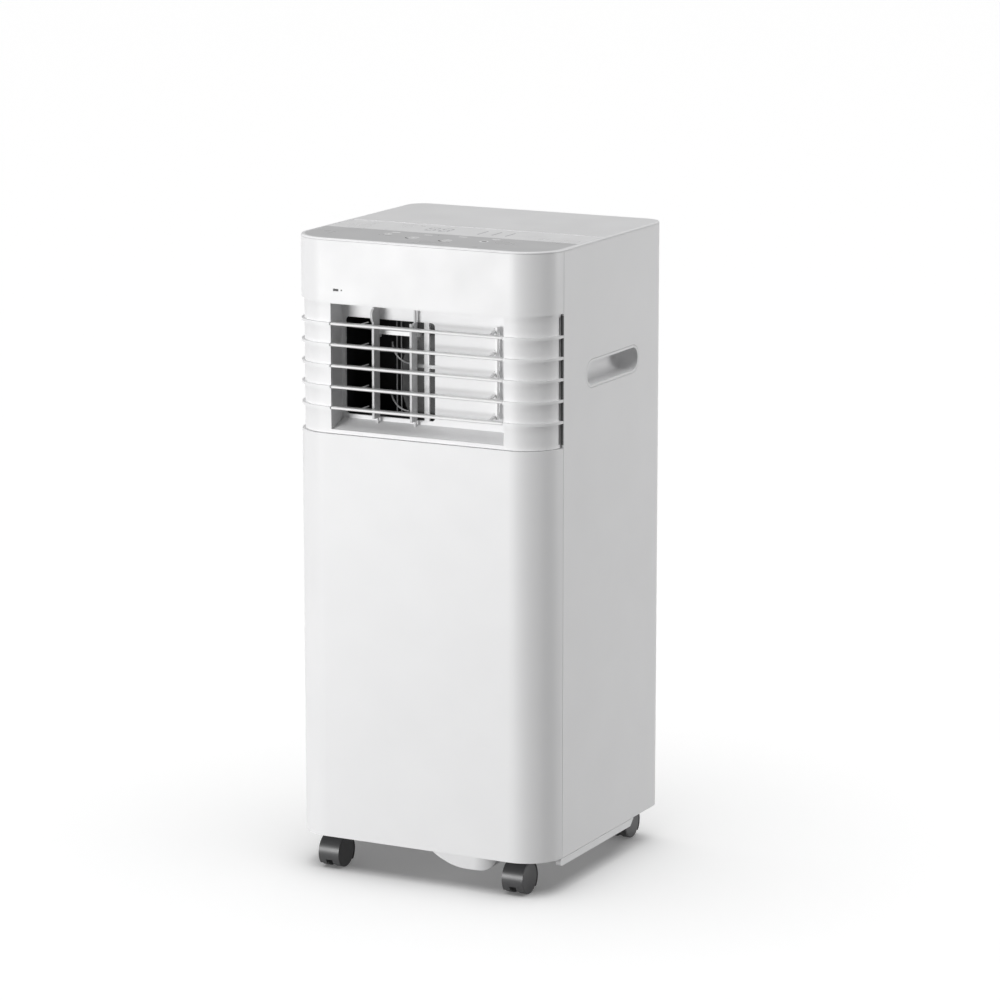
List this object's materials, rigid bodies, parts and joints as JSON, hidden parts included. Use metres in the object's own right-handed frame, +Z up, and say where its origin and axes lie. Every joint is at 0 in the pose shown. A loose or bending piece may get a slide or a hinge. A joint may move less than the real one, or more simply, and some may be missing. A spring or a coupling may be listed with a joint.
{
  "type": "portable air conditioner",
  "caption": "Upright floor-standing room air conditioner with tilting outlet louvres, side grip pockets, rear intake filters, hose collar and swivelling casters.",
  "frame": {"origin": "on the floor, under the middle of the casing", "axes": "+Z up, the louvred front faces -Y, +X is the viewer's right when facing the front"},
  "size_m": [0.3, 0.282, 0.675],
  "materials": {
    "shell_white": "fine satin moulded",
    "strip_grey": "glossy tinted",
    "strip_white": "glossy",
    "slat_white": "satin moulded",
    "vane_grey": "satin moulded",
    "dark_plastic": "dark moulded",
    "caster_black": "satin black moulded",
    "steel": "zinc plated",
    "painted_steel": "black enamel",
    "aluminium": "thin rolled sheet",
    "copper": "drawn copper tube",
    "iron": "machined",
    "rubber_black": "matt",
    "mesh_grey": "woven nylon mesh",
    "board_green": "lacquered board"
  },
  "bodies": {
    "casing": {"lower_front_panel": "shell_white", "louvre_band": "shell_white", "upper_front_panel": "shell_white", "receiver_window": "dark_plastic", "left_side_panel": "shell_white", "right_side_panel": "shell_white", "handle_cups": "shell_white", "rear_panel": "shell_white", "rear_screws": "steel", "exhaust_collar": "shell_white", "drain_port": "shell_white", "cable_gland": "rubber_black", "top_cover": "shell_white", "control_strip": "strip_grey", "display_strip": "strip_white", "outlet_chamber": "shell_white", "outlet_guard": "dark_plastic", "base_tray": "shell_white", "condensate_sump": "shell_white", "partition_tray": "shell_white", "compressor_shell": "painted_steel", "compressor_core": "iron", "compressor_mounts": "rubber_black", "accumulator": "painted_steel", "coil_fins": "aluminium", "coil_tubes": "copper", "refrigerant_pipes": "copper", "cond_fan_housing": "dark_plastic", "evap_fan_housing": "dark_plastic", "fan_motors": "steel", "control_box": "painted_steel", "circuit_boards": "board_green"},
    "slat_1_body": {"slat_1": "slat_white"},
    "slat_2_body": {"slat_2": "slat_white"},
    "slat_3_body": {"slat_3": "slat_white"},
    "slat_4_body": {"slat_4": "slat_white"},
    "slat_5_body": {"slat_5": "slat_white"},
    "slat_link_body": {"slat_link_bar": "slat_white"},
    "vane_1_body": {"vane_1": "vane_grey"},
    "vane_2_body": {"vane_2": "vane_grey"},
    "vane_link_body": {"vane_link_bar": "slat_white"},
    "cond_fan_body": {"cond_fan_wheel": "dark_plastic"},
    "evap_fan_body": {"evap_fan_wheel": "dark_plastic"},
    "upper_filter_body": {"upper_filter_frame": "shell_white", "upper_filter_mesh": "mesh_grey"},
    "lower_filter_body": {"lower_filter_frame": "shell_white", "lower_filter_mesh": "mesh_grey"},
    "drain_cap_body": {"drain_cap": "rubber_black"},
    "caster_front_left_body": {"caster_front_left_hood": "caster_black", "caster_front_left_stem": "steel"},
    "wheels_front_left_body": {"caster_front_left_wheels": "caster_black"},
    "caster_front_right_body": {"caster_front_right_hood": "caster_black", "caster_front_right_stem": "steel"},
    "wheels_front_right_body": {"caster_front_right_wheels": "caster_black"},
    "caster_rear_left_body": {"caster_rear_left_hood": "caster_black", "caster_rear_left_stem": "steel"},
    "wheels_rear_left_body": {"caster_rear_left_wheels": "caster_black"},
    "caster_rear_right_body": {"caster_rear_right_hood": "caster_black", "caster_rear_right_stem": "steel"},
    "wheels_rear_right_body": {"caster_rear_right_wheels": "caster_black"}
  },
  "joints": [
    {"name": "slat_3_tilt", "type": "hinge", "parent": "casing", "child": "slat_3_body", "pos_m": [0, -0.135, 0.542], "axis": [1, 0, 0], "range_deg": [-30, 30]},
    {"name": "slat_1_tilt", "type": "hinge", "parent": "casing", "child": "slat_1_body", "pos_m": [0, -0.135, 0.586], "axis": [1, 0, 0], "range_deg": [-30, 30]},
    {"name": "slat_2_tilt", "type": "hinge", "parent": "casing", "child": "slat_2_body", "pos_m": [0, -0.135, 0.564], "axis": [1, 0, 0], "range_deg": [-30, 30]},
    {"name": "slat_4_tilt", "type": "hinge", "parent": "casing", "child": "slat_4_body", "pos_m": [0, -0.135, 0.52], "axis": [1, 0, 0], "range_deg": [-30, 30]},
    {"name": "slat_5_tilt", "type": "hinge", "parent": "casing", "child": "slat_5_body", "pos_m": [0, -0.135, 0.498], "axis": [1, 0, 0], "range_deg": [-30, 30]},
    {"name": "slat_link_pin", "type": "hinge", "parent": "slat_3_body", "child": "slat_link_body", "pos_m": [0.08, -0.1165, 0.545], "axis": [1, 0, 0], "range_deg": [-31, 31]},
    {"name": "vane_1_swing", "type": "hinge", "parent": "casing", "child": "vane_1_body", "pos_m": [-0.057, -0.116, 0.54], "axis": [0, 0, 1], "range_deg": [-35, 35]},
    {"name": "vane_2_swing", "type": "hinge", "parent": "casing", "child": "vane_2_body", "pos_m": [-0.013, -0.116, 0.54], "axis": [0, 0, 1], "range_deg": [-35, 35]},
    {"name": "vane_link_pin", "type": "hinge", "parent": "vane_1_body", "child": "vane_link_body", "pos_m": [-0.057, -0.1093, 0.576], "axis": [0, 0, 1], "range_deg": [-36, 36]},
    {"name": "cond_fan_spin", "type": "hinge", "parent": "casing", "child": "cond_fan_body", "pos_m": [0, 0.06, 0.33], "axis": [0, 1, 0], "continuous": true},
    {"name": "evap_fan_spin", "type": "hinge", "parent": "casing", "child": "evap_fan_body", "pos_m": [0.025, -0.06, 0.525], "axis": [0, 1, 0], "continuous": true},
    {"name": "upper_filter_pull", "type": "slide", "parent": "casing", "child": "upper_filter_body", "axis": [0, 1, 0], "range_m": [0, 0.06]},
    {"name": "lower_filter_pull", "type": "slide", "parent": "casing", "child": "lower_filter_body", "axis": [0, 1, 0], "range_m": [0, 0.06]},
    {"name": "drain_cap_pull", "type": "slide", "parent": "casing", "child": "drain_cap_body", "axis": [0, 1, 0], "range_m": [0, 0.03]},
    {"name": "front_left_swivel", "type": "hinge", "parent": "casing", "child": "caster_front_left_body", "pos_m": [-0.1088, -0.109, 0.037], "axis": [0, 0, 1], "continuous": true},
    {"name": "front_left_roll", "type": "hinge", "parent": "caster_front_left_body", "child": "wheels_front_left_body", "pos_m": [-0.1088, -0.118, 0.0166], "axis": [1, 0, 0], "continuous": true},
    {"name": "front_right_swivel", "type": "hinge", "parent": "casing", "child": "caster_front_right_body", "pos_m": [0.1088, -0.109, 0.037], "axis": [0, 0, 1], "continuous": true},
    {"name": "front_right_roll", "type": "hinge", "parent": "caster_front_right_body", "child": "wheels_front_right_body", "pos_m": [0.1088, -0.118, 0.0166], "axis": [1, 0, 0], "continuous": true},
    {"name": "rear_left_swivel", "type": "hinge", "parent": "casing", "child": "caster_rear_left_body", "pos_m": [-0.1144, 0.11, 0.037], "axis": [0, 0, 1], "continuous": true},
    {"name": "rear_left_roll", "type": "hinge", "parent": "caster_rear_left_body", "child": "wheels_rear_left_body", "pos_m": [-0.1144, 0.119, 0.0166], "axis": [1, 0, 0], "continuous": true},
    {"name": "rear_right_swivel", "type": "hinge", "parent": "casing", "child": "caster_rear_right_body", "pos_m": [0.1144, 0.11, 0.037], "axis": [0, 0, 1], "continuous": true},
    {"name": "rear_right_roll", "type": "hinge", "parent": "caster_rear_right_body", "child": "wheels_rear_right_body", "pos_m": [0.1144, 0.119, 0.0166], "axis": [1, 0, 0], "continuous": true}
  ],
  "couplings": [
    {"joint": "slat_1_tilt", "follows": "slat_3_tilt", "ratio": 1},
    {"joint": "slat_2_tilt", "follows": "slat_3_tilt", "ratio": 1},
    {"joint": "slat_4_tilt", "follows": "slat_3_tilt", "ratio": 1},
    {"joint": "slat_5_tilt", "follows": "slat_3_tilt", "ratio": 1},
    {"joint": "slat_link_pin", "follows": "slat_3_tilt", "ratio": -1},
    {"joint": "vane_2_swing", "follows": "vane_1_swing", "ratio": 1},
    {"joint": "vane_link_pin", "follows": "vane_1_swing", "ratio": -1}
  ]
}
